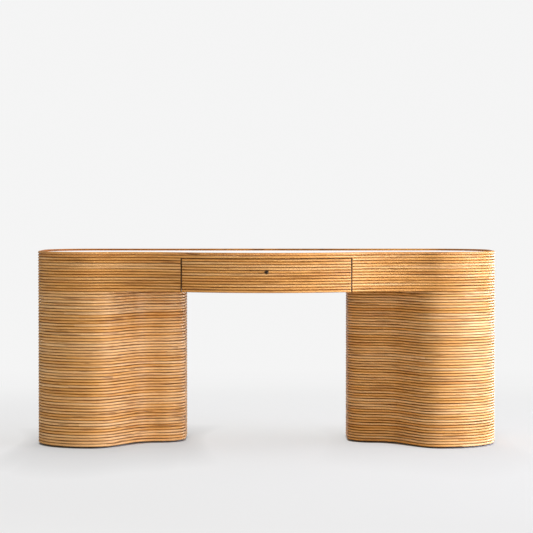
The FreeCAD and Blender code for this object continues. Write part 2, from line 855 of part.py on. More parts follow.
def knob():
    """Turned knob whose foot passes the reeds and sits on the board; bored for its screw."""
    body = new_body("drawer_knob")
    seat = bow_y + core
    bore = size.screw_radius + size.fit_gap
    foot = size.knob_radius * 0.6
    head = size.knob_radius
    tip = bow_y - size.knob_reach
    neck = tip + size.knob_reach * 0.62
    deep = seat - size.knob_bore
    centre = knob_z
    outline = [
        (deep, dim(0)), (deep, bore), (seat, bore), (seat, foot), (neck, foot * 0.85),
        (tip + size.knob_reach * 0.5, head * 0.94), (tip + size.knob_reach * 0.36, head),
        (tip + size.knob_reach * 0.16, head * 0.9), (tip + size.knob_reach * 0.04, head * 0.6),
        (tip, head * 0.3), (tip, dim(0)),
    ]
    sketch = side_view(body, "Turning")
    polygon(sketch, [(y, centre + r) for y, r in outline])
    revolve(body, sketch, ((seat, centre), (tip, centre)))
    return body


def knob_screw():
    body = new_body("knob_screw")
    centre = knob_z
    head = size.screw_radius * 2.4
    face = bow_centre_y - root(front_inner * front_inner - head * head)
    back = face + size.screw_radius * 1.3
    end = bow_y + core - size.knob_bore * 0.9
    outline = [
        (end, dim(0)), (end, size.screw_radius), (face, size.screw_radius), (face, head),
        (back, head * 0.8), (back, dim(0)),
    ]
    sketch = side_view(body, "Turning")
    polygon(sketch, [(y, centre + r) for y, r in outline])
    revolve(body, sketch, ((face, centre), (end, centre)))
    return body


def rail(name, side, points, start, length, group=False):
    """Rolled channel along the drawer; points are (distance in from the bay side, height from its middle)."""
    body = new_body(name, group)
    sketch = front_view(body, "Section", start + length)
    polygon(sketch, [((bay_half - u) * side, slide_z + v) for u, v in points])
    pad(body, sketch, length)
    return body


def both_ways(points):
    """Half of a section and its mirror image below the middle."""
    return points + [(u, -v) for u, v in reversed(points)]


def slide(hand, side):
    """Ball-bearing slide: a channel on the partition, one on the drawer, and balls in a cage between."""
    sheet = size.slide_sheet
    half = size.slide_height / 2
    width = size.slide_width
    play = size.ball_play
    inner_half = half - sheet - size.ball_radius * 2 - play * 2
    lip_u = width - sheet - play * 2
    fixed = both_ways([
        (sheet, half - sheet), (lip_u - sheet, half - sheet), (lip_u - sheet, half - sheet * 2),
        (lip_u, half - sheet * 2), (lip_u, half), (dim(0), half),
    ])
    toe = sheet * 3
    toe_top = inner_half + sheet * 0.8
    moving = both_ways([
        (width - sheet, inner_half - sheet), (toe, inner_half - sheet), (toe, toe_top),
        (toe + sheet, toe_top), (toe + sheet, inner_half), (width, inner_half),
    ])
    ball_v = inner_half + size.ball_radius + play
    cage_u = sheet + play * 4
    cage_v = ball_v + play * 2
    cage_lip = lip_u - play * 2
    strip = both_ways([
        (cage_u + size.cage_sheet, cage_v - size.cage_sheet), (cage_lip, cage_v - size.cage_sheet),
        (cage_lip, cage_v), (cage_u, cage_v),
    ])
    cage_front = slide_front + slide_travel / 2
    hole = size.screw_radius + size.fit_gap

    cabinet = rail(f"slide_cabinet_member_{hand}", side, fixed, slide_front, slide_length)
    screw_holes(cabinet, bay_half - sheet - size.fit_gap, side, fixed_rows, hole, sheet * 2, True)
    runner = rail(f"slide_drawer_member_{hand}", side, moving, slide_front, slide_length)
    screw_holes(runner, box_half + sheet + size.fit_gap, side, moving_rows, hole, sheet * 2, False)

    cage = rail(f"slide_ball_cage_{hand}", side, strip, cage_front, size.cage_length)
    balls_along = 6
    step = size.cage_length / balls_along
    ball_x = (bay_half - width * 0.55) * side
    spots = [(ball_x, cage_front + step * (k + 0.5)) for k in range(balls_along)]
    seats = plan(cage, "Seats", slide_z + half)
    circles(seats, spots, size.ball_radius + size.fit_gap)
    pocket(cage, seats, size.slide_height)

    balls = new_body(f"slide_balls_{hand}", group=True)
    ball = balls.newObject("PartDesign::AdditiveSphere", "Ball")
    ball.AttachmentSupport = [(origin_part(balls, "XY_Plane"), "")]
    ball.MapMode = "FlatFace"
    ball.setExpression("Radius", size.ball_radius.text)
    ball.setExpression("AttachmentOffset.Base.x", ball_x.text)
    ball.setExpression("AttachmentOffset.Base.y", (cage_front + step * 0.5).text)
    ball.setExpression("AttachmentOffset.Base.z", (slide_z - ball_v).text)
    repeat(balls, ball, "Y_Axis", dim(balls_along), step, ("Z_Axis", dim(2), ball_v * 2))
    return [cabinet, runner, cage, balls]


def slide_screws(name, side, rows, face, toward, length):
    """Low round-headed screws through a slide member; toward is the way the shank points along X."""
    body = new_body(name, group=True)
    count, first, step = rows
    shank = size.screw_radius
    outer = face - size.screw_head * toward
    outline = [
        (outer, dim(0)), (outer, shank * 1.7), (face, shank * 1.9),
        (face, shank), (face + length * toward, shank), (face + length * toward, dim(0)),
    ]
    sketch = front_view(body, "Turning", slide_front + first)
    polygon(sketch, [(x * side, slide_z + r) for x, r in outline])
    screw = revolve(body, sketch, ((face * side, slide_z), ((face + length * toward) * side, slide_z)))
    repeat(body, screw, "Y_Axis", dim(count), step)
    return body


def drawer():
    return [
        drawer_front(), drawer_front_reeds(), drawer_back(), drawer_bottom(), knob(), knob_screw(),
        drawer_side("drawer_side_left", -1), drawer_side("drawer_side_right", 1),
    ]


def slides():
    bodies = []
    for hand, side in (("left", -1), ("right", 1)):
        bodies += slide(hand, side)
        fixed_face = bay_half - size.slide_sheet
        moving_face = box_half + size.slide_sheet
        bodies.append(slide_screws(f"slide_cabinet_screws_{hand}", side, fixed_rows, fixed_face, 1,
                                   size.fixed_screw))
        bodies.append(slide_screws(f"slide_drawer_screws_{hand}", side, moving_rows, moving_face, -1,
                                   size.moving_screw))
    return bodies


def top():
    panel = plate("top_panel", desk_outline, core, panel_z, size.top_thickness)
    bodies = [panel, rim_reed(), apron_reeds(), glass_top(), glass_pads(), back_cleat()]
    for hand, side in (("left", -1), ("right", 1)):
        bodies.append(apron_wall(f"apron_wall_{hand}", side))
        bodies.append(soffit(f"apron_soffit_{hand}", side))
        bodies.append(partition(f"bay_partition_{hand}", side))
    return bodies


def write(bodies):
    doc.recompute()
    for item in doc.Objects:
        if "Invalid" in item.State or "Error" in item.State:
            raise RuntimeError(f"{item.Name} {item.State}")
    os.makedirs("parts", exist_ok=True)
    for body in bodies:
        shape = body.Shape
        if shape.isNull() or not shape.isValid() or not shape.Solids:
            raise RuntimeError(f"{body.Name} has no sound shape")
        shape.exportStep(f"parts/{body.Name}.step")
        print(body.Name, len(shape.Solids), round(shape.Volume))


write(top() + drawer() + slides()
      + pedestal("left", -1, size.left_rows) + pedestal("right", 1, size.right_rows))
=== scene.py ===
import math
import bpy
import numpy as np
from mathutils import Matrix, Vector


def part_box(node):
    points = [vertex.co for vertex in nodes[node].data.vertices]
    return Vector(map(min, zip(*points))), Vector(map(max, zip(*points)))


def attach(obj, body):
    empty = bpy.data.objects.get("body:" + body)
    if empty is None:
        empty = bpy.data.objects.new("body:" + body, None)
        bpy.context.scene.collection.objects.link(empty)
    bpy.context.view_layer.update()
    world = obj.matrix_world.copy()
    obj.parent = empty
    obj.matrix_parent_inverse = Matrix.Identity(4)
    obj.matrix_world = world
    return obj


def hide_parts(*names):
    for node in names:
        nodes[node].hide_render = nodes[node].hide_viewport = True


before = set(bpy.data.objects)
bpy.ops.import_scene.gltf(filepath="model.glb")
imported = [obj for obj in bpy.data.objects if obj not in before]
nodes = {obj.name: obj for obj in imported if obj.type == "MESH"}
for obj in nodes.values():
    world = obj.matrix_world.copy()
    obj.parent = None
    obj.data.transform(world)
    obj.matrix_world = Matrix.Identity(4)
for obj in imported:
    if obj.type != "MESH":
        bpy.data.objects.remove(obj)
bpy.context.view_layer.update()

print("frame loaded:", len(nodes), "nodes")


# shader helpers
class Value:  # one socket that takes part in sums and products
    def __init__(self, finish, socket):
        self.finish = finish
        self.socket = socket

    def run(self, operation, first, second):
        return self.finish.node("ShaderNodeMath", {"operation": operation}, {0: first, 1: second})

    def __add__(self, other):
        return self.run("ADD", self, other)

    def __sub__(self, other):
        return self.run("SUBTRACT", self, other)

    def __rsub__(self, other):
        return self.run("SUBTRACT", other, self)

    def __mul__(self, other):
        return self.run("MULTIPLY", self, other)

    __radd__ = __add__
    __rmul__ = __mul__


class Finish:  # a material built from its Principled shader outwards
    def __init__(self, name, **fixed):
        self.material = bpy.data.materials.new(name)
        self.material.use_nodes = True
        self.tree = self.material.node_tree
        self.shader = self.tree.nodes["Principled BSDF"]
        for key, value in fixed.items():
            self.shader.inputs[key.replace("_", " ")].default_value = value

    def node(self, kind, settings, sockets, out=0):
        made = self.tree.nodes.new(kind)
        for key, value in settings.items():
            if key == "stops":
                self.setStops(made.color_ramp, value)
            else:
                setattr(made, key, value)
        for key, value in sockets.items():
            if isinstance(value, Value):
                self.tree.links.new(value.socket, made.inputs[key])
            else:
                made.inputs[key].default_value = value
        return Value(self, made.outputs[out])

    def setStops(self, ramp, stops):
        while len(ramp.elements) < len(stops):
            ramp.elements.new(0.5)
        for element, (place, colour) in zip(ramp.elements, stops):
            element.position = place
            element.color = colour

    def mix(self, factor, low, high):  # blend of two colours
        return self.node("ShaderNodeMix", {"data_type": "RGBA"}, {0: factor, 6: low, 7: high}, 2)

    def ramp(self, factor, *stops):  # grey ramp through (place, level) stops
        stops = [(place, (level, level, level, 1)) for place, level in stops]
        return self.node("ShaderNodeValToRGB", {"stops": stops}, {0: factor})

    def uv(self, name, stretch):  # the piece's own UV, stretched
        raw = self.node("ShaderNodeUVMap", {"uv_map": name}, {})
        return self.node("ShaderNodeVectorMath", {"operation": "MULTIPLY"}, {0: raw, 1: stretch})

    def place(self, stretch):  # object coordinates, stretched
        raw = self.node("ShaderNodeTexCoord", {}, {}, 3)
        return self.node("ShaderNodeVectorMath", {"operation": "MULTIPLY"}, {0: raw, 1: stretch})

    def noise(self, vector, scale, detail=3.0, rough=0.5):
        sockets = {"Vector": vector, "Scale": scale, "Detail": detail, "Roughness": rough}
        return self.node("ShaderNodeTexNoise", {}, sockets)

    def size(self, value):  # without its sign
        return self.node("ShaderNodeMath", {"operation": "ABSOLUTE"}, {0: value})

    def larger(self, first, second):
        return self.node("ShaderNodeMath", {"operation": "MAXIMUM"}, {0: first, 1: second})

    def root(self, value):
        return self.node("ShaderNodeMath", {"operation": "SQRT"}, {0: value})

    def corner(self, past, radius):  # how far a round corner falls back, past its start
        past = self.larger(past, 0.0)
        return radius - self.root(radius ** 2 - past * past)

    def remap(self, value, *ends):  # eased step: from low, from high, to low, to high
        sockets = dict(enumerate((value, *ends)))
        return self.node("ShaderNodeMapRange", {"interpolation_type": "SMOOTHSTEP"}, sockets)

    def attribute(self, name):  # a number kept on the faces
        return self.node("ShaderNodeAttribute", {"attribute_name": name}, {}, 2)

    def axis(self, vector, index):  # one part of a vector
        return self.node("ShaderNodeSeparateXYZ", {}, {0: vector}, index)

    def ray(self, kind):  # 1 for rays of that kind
        return self.node("ShaderNodeLightPath", {}, {}, "Is " + kind + " Ray")

    def feed(self, socket, value):
        self.tree.links.new(value.socket, self.shader.inputs[socket])

    def bump(self, height, strength, distance):
        sockets = {"Height": height, "Strength": strength, "Distance": distance}
        self.feed("Normal", self.node("ShaderNodeBump", {}, sockets))


class Sky(Finish):  # the same for a world, built from its Background shader
    def __init__(self, world):
        self.tree = world.node_tree
        self.shader = self.tree.nodes["Background"]
        self.shader.inputs["Color"].default_value = (1, 1, 1, 1)


rattanLook = {
    "dark": (0.47, 0.153, 0.024, 1),  # three shades of whole reeds
    "honey": (0.71, 0.340, 0.080, 1),
    "pale": (0.88, 0.575, 0.29, 1),
    "crest": (0.88, 0.525, 0.20, 1),  # painted highlight along the crest
    "streak": (0.34, 0.115, 0.018, 1),  # brown streaks along a reed
    "dash": (0.11, 0.035, 0.008, 1),  # thin dark dashes at random along a reed
    "groove": (0.11, 0.027, 0.003, 1),  # painted shade between reeds
    # how each pattern is stretched: per metre along the reed, and round its section
    "slowGrain": (2.0, 0.8, 1),
    "streakGrain": (5.0, 2.2, 1),
    "dashGrain": (6.5, 3.4, 1),
    "seamGrain": (4.5, 1.2, 1),
    "fibreGrain": (55.0, 36.0, 1),
    "acrossScale": 2.22,  # takes the round face from -1 at one edge to 1 at the other
    # parts of the row's tone, the slow grain and the streaks in a reed's shade, and a fixed part
    "shadeParts": (0.25, 0.9, 0.5, -0.33),
    # parts of the fibre and the seams in the painted shade between reeds, and a fixed part
    "gapShadeParts": (0.16, 1.1, -0.63),
    # where each blend starts and ends
    "toHoney": ((0.18, 0), (0.48, 1)),
    "toPale": ((0.48, 0), (0.82, 1)),
    "crestHighlight": ((0.02, 0.5), (0.42, 0)),
    "streakBlend": ((0.51, 0), (0.66, 0.8)),
    "dashBlend": ((0.62, 0), (0.71, 0.85)),
    "gapShadeBlend": ((0.42, 0), (0.92, 0.99)),
    "coat": 0.5,
    "rough": 0.38,
    "bump": (0.3, 0.0008),  # strength and metres
}


def rattanFinish():
    # everything runs along the reed: noise on a UV whose first axis is metres along it
    look = rattanLook
    f = Finish("rattan", Specular_IOR_Level=0.0, Coat_Roughness=look["rough"])
    tone = f.attribute("tone")
    slow = f.noise(f.uv("reed", look["slowGrain"]), 1.0, 2.0)
    streak = f.noise(f.uv("reed", look["streakGrain"]), 1.0, 3.0, 0.55)
    dash = f.noise(f.uv("reed", look["dashGrain"]), 1.0, 2.0, 0.5)
    seam = f.noise(f.uv("reed", look["seamGrain"]), 1.0, 2.0)
    fibre = f.noise(f.uv("reed", look["fibreGrain"]), 1.0, 3.0, 0.6)
    across = f.axis(f.uv("reed", (1, 1, 1)), 1)
    edge = f.size(across * look["acrossScale"] - 1.0)  # 0 on the crest, 1 where reeds meet
    tonePart, slowPart, streakPart, shadeBase = look["shadeParts"]
    shade = tone * tonePart + slow * slowPart + streak * streakPart + shadeBase
    body = f.mix(f.ramp(shade, *look["toHoney"]), look["dark"], look["honey"])
    body = f.mix(f.ramp(shade, *look["toPale"]), body, look["pale"])
    # painted highlight: paler along each reed's crest
    body = f.mix(f.ramp(edge + fibre * 0.2 - 0.1, *look["crestHighlight"]), body, look["crest"])
    body = f.mix(f.ramp(streak * 0.8 + fibre * 0.2, *look["streakBlend"]), body, look["streak"])
    body = f.mix(f.ramp(dash, *look["dashBlend"]), body, look["dash"])
    # painted shade where reeds meet and on the cut ends, with little coat there
    fibrePart, seamPart, gapShadeBase = look["gapShadeParts"]
    gapShade = f.ramp(edge + fibre * fibrePart + seam * seamPart + gapShadeBase, *look["gapShadeBlend"])
    f.feed("Base Color", f.mix(gapShade, body, look["groove"]))
    f.feed("Coat Weight", look["coat"] - look["coat"] * gapShade)
    f.feed("Roughness", look["rough"] + 0.16 * fibre + 0.3 * gapShade)
    f.bump(fibre * 0.5 + streak * 0.5, *look["bump"])
    return f.material


woodLook = {
    "grain": (1.0, 14.0),  # stretch along the grain and across it
    "pores": (3.0, 130.0),
    "blend": ((0.36, 0), (0.64, 1)),
    "gapShade": (0.05, 0.022, 0.009, 1),
    "gapShadeEdge": ((0.497, 0), (0.498, 1)),  # 0.5 is the radius of the painted shade
    "bump": (0.2, 0.0004),
}


def lengthwise(along, stretch):  # a stretch along one axis, and another on the rest
    return [stretch[0] if k == along else stretch[1] for k in range(3)]


def woodFinish(name, pale, deep, along, rough=0.55, paintedShade=None):
    # long grain: noise squeezed across the grain, broken by finer pores
    look = woodLook
    f = Finish(name, Specular_IOR_Level=0.35)
    grain = f.noise(f.place(lengthwise(along, look["grain"])), 1.6, 5.0, 0.6)
    pores = f.noise(f.place(lengthwise(along, look["pores"])), 1.0, 2.0, 0.6)
    shade = f.ramp(grain * 0.75 + pores * 0.25, *look["blend"])
    colour = f.mix(shade, deep, pale)
    if paintedShade:  # painted shade: near-black beyond a radius in plan
        centre, radius = paintedShade
        spot = f.place((1, 1, 0))
        away = f.node("ShaderNodeVectorMath", {"operation": "DISTANCE"}, {0: spot, 1: centre}, 1)
        outside = f.ramp(away * (0.5 / radius), *look["gapShadeEdge"])
        colour = f.mix(outside, colour, look["gapShade"])
    f.feed("Base Color", colour)
    f.feed("Roughness", rough + 0.18 * pores - 0.09)
    f.bump(pores, *look["bump"])
    return f.material


metalLook = {
    "scratches": (4.0, 600.0),  # stretch along the drawing and across it
    "cloud": (30, 30, 30),
    "wear": ((0.4, 0), (0.65, 1)),
    "bump": (0.08, 0.0002),
}


def metalFinish(name, colour, worn, rough, along):
    # drawn metal: fine scratches along one axis and a faint cloudiness
    look = metalLook
    f = Finish(name, Metallic=1.0)
    lines = f.noise(f.place(lengthwise(along, look["scratches"])), 1.0, 2.0)
    cloud = f.noise(f.place(look["cloud"]), 1.0, 3.0)
    f.feed("Base Color", f.mix(f.ramp(cloud, *look["wear"]), colour, worn))
    f.feed("Roughness", rough + 0.16 * lines - 0.08 + 0.1 * cloud)
    f.bump(lines, *look["bump"])
    return f.material


plasticLook = {
    "grit": (900, 900, 900),
    "blend": ((0.4, 0), (0.7, 0.5)),
    "bump": (0.15, 0.0002),
}


def plasticFinish(name, colour, rough):
    # moulded plastic: fine grit, paler where it stands up
    look = plasticLook
    f = Finish(name)
    grit = f.noise(f.place(look["grit"]), 1.0, 2.0)
    lighter = [min(1.0, c * 1.5 + 0.01) for c in colour[:3]] + [1]
    f.feed("Base Color", f.mix(f.ramp(grit, *look["blend"]), colour, lighter))
    f.feed("Roughness", rough + 0.2 * grit - 0.1)
    f.bump(grit, *look["bump"])
    return f.material


glassLook = {
    "tint": (0.95, 0.99, 0.975, 1),
    "smear": (3, 3, 3),
    "smearRough": ((0.45, 0.0), (0.75, 0.05)),
}


def glassFinish():
    # clear float glass: smooth but for faint wiping smears
    look = glassLook
    f = Finish("glass", Base_Color=look["tint"], Transmission_Weight=1.0, IOR=1.5, Roughness=0.0,
               Coat_Weight=1.0, Coat_Roughness=0.02)
    smear = f.noise(f.place(look["smear"]), 1.0, 4.0)
    f.feed("Roughness", f.ramp(smear, *look["smearRough"]))
    return f.material


drawerPale = (0.66, 0.49, 0.30, 1)
drawerDeep = (0.52, 0.35, 0.185, 1)
finishes = {
    "rattan": rattanFinish(),
    "plywood": woodFinish("plywood", (0.56, 0.39, 0.215, 1), (0.40, 0.25, 0.12, 1), 0),
    # near-black wood as painted shade behind the reeds and under the pedestals
    "paintedShade": woodFinish("paintedShade", (0.10, 0.046, 0.018, 1), (0.055, 0.024, 0.010, 1), 0),
    "veneer": woodFinish("veneer", (0.80, 0.49, 0.21, 1), (0.60, 0.325, 0.115, 1), 0, 0.45),
    "drawerWood": woodFinish("drawerWood", drawerPale, drawerDeep, 1, 0.42),
    "zinc": metalFinish("zinc", (0.55, 0.56, 0.57, 1), (0.68, 0.68, 0.67, 1), 0.32, 1),
    "bronze": metalFinish("bronze", (0.042, 0.028, 0.019, 1), (0.11, 0.075, 0.045, 1), 0.3, 0),
    "nylon": plasticFinish("nylon", (0.035, 0.032, 0.03, 1), 0.55),
    "clearPad": plasticFinish("clearPad", (0.72, 0.74, 0.74, 1), 0.35),
    "glass": glassFinish(),
}
print("finishes made:", len(finishes))


# plan of the desk, in metres
plan = {
    "endRadius": 0.220,  # round ends, front and back
    "lobeRadius": 0.140,  # front of each end, as it turns towards the waist
    "waistRadius": 0.420,  # hollow between end and drawer
    "bowRadius": 0.610,  # bulge of the middle
    "lobeDepth": 0.6075,  # back to the front of a round end
    "kneeRecess": 0.220,  # how far a pedestal steps back beside the knees
    "shoulderRadius": 0.105,  # a pedestal's S: its outer bend, its hollow and its inner corners
    "hollowRadius": 0.110,
    "innerRadius": 0.105,
    "bayHalf": 0.328,  # half the drawer bay
    "frontHalf": 0.325,  # half the drawer front
    "cutBack": 0.0014,  # reeds end this much short of the drawer's cuts
    "step": 0.009,  # spacing of sections along a bend
    "straightSteps": 4,  # how many times wider it is on a straight run
}
boxLow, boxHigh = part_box("apron_reeds")
halfWidth, backY, bowY = boxHigh.x, boxHigh.y, boxLow.y
lobeX = halfWidth - plan["endRadius"]
lobeY = backY - plan["lobeDepth"]
endY = lobeY + plan["endRadius"]
bowCentre = np.array([0.0, bowY + plan["bowRadius"]])
quarter = math.pi / 2


def line(start, end):
    # straight run: even points from start towards end, normal to the right of travel
    start, end = np.array(start), np.array(end)
    length = np.linalg.norm(end - start)
    count = max(2, int(math.ceil(length / (plan["straightSteps"] * plan["step"]))))
    t = np.linspace(0, 1, count, endpoint=False)[:, None]
    way = (end - start) / length
    normal = np.tile([way[1], -way[0]], (count, 1))
    return start + t * (end - start), normal


def arc(centre, radius, start, end, hollow=False):
    # round run: centre plus radius at even angles, with a radial normal, turned inward on a hollow
    if not hollow and end < start:
        end += 2 * math.pi
    count = max(3, int(math.ceil(abs(end - start) * radius / plan["step"])))
    angle = np.linspace(start, end, count, endpoint=False)
    radial = np.stack([np.cos(angle), np.sin(angle)], 1)
    return np.array(centre) + radius * radial, -radial if hollow else radial


def joinRuns(*runs):  # one run of points and normals from several
    points = np.concatenate([run[0] for run in runs])
    normals = np.concatenate([run[1] for run in runs])
    return points, normals


def mirrorRun(run):  # the same run on the other side, travelled backwards
    flip = np.array([-1.0, 1.0])
    return run[0][::-1] * flip, run[1][::-1] * flip


def bearing(start, end):  # angle of the way from one point to another
    return math.atan2(end[1] - start[1], end[0] - start[0])


def waistCentre():
    # front crossing of two circles round the bow's and the lobe's centres
    lobe = np.array([lobeX, lobeY + plan["lobeRadius"]])
    far = plan["waistRadius"] + plan["bowRadius"]
    near = plan["waistRadius"] + plan["lobeRadius"]
    span = np.linalg.norm(lobe - bowCentre)
    along = (far ** 2 - near ** 2 + span ** 2) / (2 * span)
    off = math.sqrt(far ** 2 - along ** 2)
    way = (lobe - bowCentre) / span
    return bowCentre + along * way + off * np.array([way[1], -way[0]]), lobe


def rightEnd():
    # from the bow round the right end to the middle of the back
    waist, lobe = waistCentre()
    toBow, toLobe = bearing(waist, bowCentre), bearing(waist, lobe)
    end = (lobeX, endY)
    back = (lobeX, backY - plan["endRadius"])
    return toBow + math.pi, joinRuns(
        arc(waist, plan["waistRadius"], toBow, toLobe, hollow=True),
        arc(lobe, plan["lobeRadius"], toLobe + math.pi, 3 * quarter),
        arc(end, plan["endRadius"], 3 * quarter, 4 * quarter),
        line((halfWidth, end[1]), (halfWidth, back[1])),
        arc(back, plan["endRadius"], 0, quarter),
        line((back[0], backY), (0, backY)),
    )


def deskRing():
    # closed run: bow and right end, then the same mirrored
    leave, right = rightEnd()
    bow = arc(bowCentre, plan["bowRadius"], 3 * quarter, leave)
    half = joinRuns(bow, right)
    top = (np.array([[0.0, backY]]), np.array([[0.0, 1.0]]))
    left = mirrorRun((half[0][1:], half[1][1:]))
    return joinRuns(half, top, left)


def apronRun():
    # open run: from one side of the drawer bay round the back to the other
    leave, right = rightEnd()
    start = math.acos(plan["bayHalf"] / plan["bowRadius"])
    bow = arc(bowCentre, plan["bowRadius"], 2 * math.pi - start, leave)
    half = joinRuns(bow, right)
    top = (np.array([[0.0, backY]]), np.array([[0.0, 1.0]]))
    return joinRuns(half, top, mirrorRun(half))


def bowRun():
    # the drawer front: the middle arc between its two cut ends
    swing = math.asin(plan["frontHalf"] / plan["bowRadius"])
    run = arc(bowCentre, plan["bowRadius"], 3 * quarter - swing, 3 * quarter)
    return joinRuns(run, (np.array([[0.0, bowY]]), np.array([[0.0, -1.0]])), mirrorRun(run))


def pedestalRing(side):
    # round the back, then along the S beside the knees: two arcs and the line that touches both
    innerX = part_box("pedestal_reeds_right")[0].x
    kneeY = lobeY + plan["kneeRecess"]
    cornerX = innerX + plan["innerRadius"]
    back = (lobeX, backY - plan["endRadius"])
    shoulder = (lobeX, lobeY + plan["shoulderRadius"])
    hollow = (cornerX, kneeY - plan["hollowRadius"])
    bothRadii = plan["shoulderRadius"] + plan["hollowRadius"]
    slope = bearing(shoulder, hollow) + math.acos(bothRadii / math.dist(shoulder, hollow))
    way = np.array([math.cos(slope), math.sin(slope)])
    hollowEnd = np.array(hollow) - plan["hollowRadius"] * way
    shoulderStart = np.array(shoulder) + plan["shoulderRadius"] * way
    run = joinRuns(
        line((halfWidth, endY), (halfWidth, back[1])),
        arc(back, plan["endRadius"], 0, quarter),
        line((back[0], backY), (cornerX, backY)),
        arc((cornerX, backY - plan["innerRadius"]), plan["innerRadius"], quarter, 2 * quarter),
        line((innerX, backY - plan["innerRadius"]), (innerX, kneeY + plan["innerRadius"])),
        arc((cornerX, kneeY + plan["innerRadius"]), plan["innerRadius"], 2 * quarter, 3 * quarter),
        arc(hollow, plan["hollowRadius"], quarter, slope - math.pi, hollow=True),
        line(hollowEnd, shoulderStart),
        arc(shoulder, plan["shoulderRadius"], slope, 3 * quarter),
        arc((lobeX, endY), plan["endRadius"], 3 * quarter, 4 * quarter),
    )
    return run if side > 0 else mirrorRun(run)


# reeds
reeds = {
    "rows": {
        "pedestal_reeds_left": 53,
        "pedestal_reeds_right": 57,
        "apron_reeds": 13,
        "drawer_front_reeds": 12,
    },
    "depth": 0.005,  # how far a reed stands off its backing
    "gap": 0.0005,  # between one reed and the next
    "sections": 10,  # points round the half-round face
    "rimSections": 14,  # points round the rim's full circle
    "wander": 0.00012,  # how far a reed strays up and down
    "swell": 0.00025,  # how its thickness changes along it
    "turns": (2, 9),  # range of the waves of both along a row
    "waves": (0.5, 0.3, 0.2),  # share of each of their three sines
    "shift": 60,  # most metres by which a row's grain starts further on
    "pedestalLitTones": (0.5, 1.5),  # range of the rows' own tones; the pedestals' is paler than the apron's, painted light that brightens them
    "rimTones": (-0.6, -0.4),
    "rimAcross": (0.15, 0.6),  # part of a reed's section that the rim's grain takes
    "seed": 11,
}


def halfRound(pitch):
    # circle arc over a flat back: depth in from the crest and height from the middle
    half = (pitch - reeds["gap"]) / 2
    radius = (half ** 2 + reeds["depth"] ** 2) / (2 * reeds["depth"])
    swing = math.atan2(half, reeds["depth"] - radius)
    angle = np.linspace(-swing, swing, reeds["sections"])
    return radius - radius * np.cos(angle), radius * np.sin(angle)


def fullRound(size):
    # whole circle of the rim, measured in the same way
    angle = np.linspace(-math.pi, math.pi, reeds["rimSections"], endpoint=False)
    return size / 2 - size / 2 * np.cos(angle), size / 2 * np.sin(angle)


def strayAlong(length, whole, rows, closed, rng):
    # three slow sines per row; on a ring each makes whole turns, so the ends meet
    share = np.array(reeds["waves"])[None, :, None]
    shape = (rows, share.size, 1)
    turns = (rng.integers if closed else rng.uniform)(*reeds["turns"], shape)
    phase = rng.uniform(0, 2 * math.pi, shape)
    return (share * np.sin(2 * math.pi * turns * length[None, None, :] / whole + phase)).sum(1)


def sweepReeds(name, run, profile, levels, closed, seed, cutX=None,
               across=(0.0, 1.0), tones=(0.0, 1.0)):
    # point = run + normal * (swell - depth in), height = level + profile height + wander
    points, normals = run
    depthIn, rise = profile
    rows = len(levels)
    hop = np.linalg.norm(np.diff(np.vstack([points, points[:1]]), axis=0), axis=1)
    length = np.concatenate([[0], np.cumsum(hop)])
    whole = length[-1] if closed else length[-2]
    rng = np.random.default_rng(seed)
    swell = reeds["swell"] * (strayAlong(length[:-1], whole, rows, closed, rng) - 1.0) * 0.5
    wander = reeds["wander"] * strayAlong(length[:-1], whole, rows, closed, rng)
    share = 1 - depthIn / depthIn.max()
    offset = share[None, None, :] * swell[:, :, None] - depthIn[None, None, :]
    flat = points[None, :, None, :] + normals[None, :, None, :] * offset[..., None]
    if cutX:
        flat = cutSquare(flat, normals, cutX)
    height = np.array(levels)[:, None, None] + rise[None, None, :] + wander[:, :, None]
    verts = np.concatenate([flat, height[..., None]], 3)
    return reedMesh(name, verts, length, closed, rng, across, tones)


def cutSquare(flat, normals, cutX):
    # slide both end sections along the reed until they stand on the planes x = +-cutX
    for index in (0, -1):
        tangent = np.array([-normals[index][1], normals[index][0]])
        wanted = math.copysign(cutX, flat[0, index, 0, 0])
        slideBy = (wanted - flat[:, index, :, 0]) / tangent[0]
        flat[:, index] += slideBy[..., None] * tangent
    return flat


def reedMesh(name, verts, length, closed, rng, across, tones):
    # quads of a grid wrapped round the section, and along the run when it is a ring
    rows, count, around = verts.shape[:3]
    low, wide = across
    steps = count if closed else count - 1
    row, step, edge = np.indices((rows, steps, around))
    nextStep, nextEdge = (step + 1) % count, (edge + 1) % around

    def at(i, j):
        return (row * count + i) * around + j

    quads = np.stack([at(step, edge), at(nextStep, edge),
                      at(nextStep, nextEdge), at(step, nextEdge)], -1)
    shift = rng.uniform(0, reeds["shift"], rows)
    tone = rng.uniform(*tones, rows)
    # a ring's ends butt at some section, and its grain starts there
    joint = rng.integers(0, count, rows) if closed else np.zeros(rows, int)
    u0 = length[step] - length[joint[row]] + np.where(step < joint[row], length[-1], 0.0)
    u1 = u0 + length[step + 1] - length[step]
    v0, v1 = low + wide * edge / around, low + wide * (edge + 1) / around
    uv = np.stack([np.stack([u0, v0], -1), np.stack([u1, v0], -1),
                   np.stack([u1, v1], -1), np.stack([u0, v1], -1)], -2)
    uv[..., 0] += shift[:, None, None, None]
    faces = quads.reshape(-1, 4), uv.reshape(-1, 4, 2), row.ravel(), edge.ravel() == around - 1
    if not closed:
        faces = addEnds(faces, verts.shape, shift, length)
    quads, uv, faceRow, isFlat = faces
    return fillMesh(name, verts.reshape(-1, 3), quads, uv, tone[faceRow], ~isFlat)


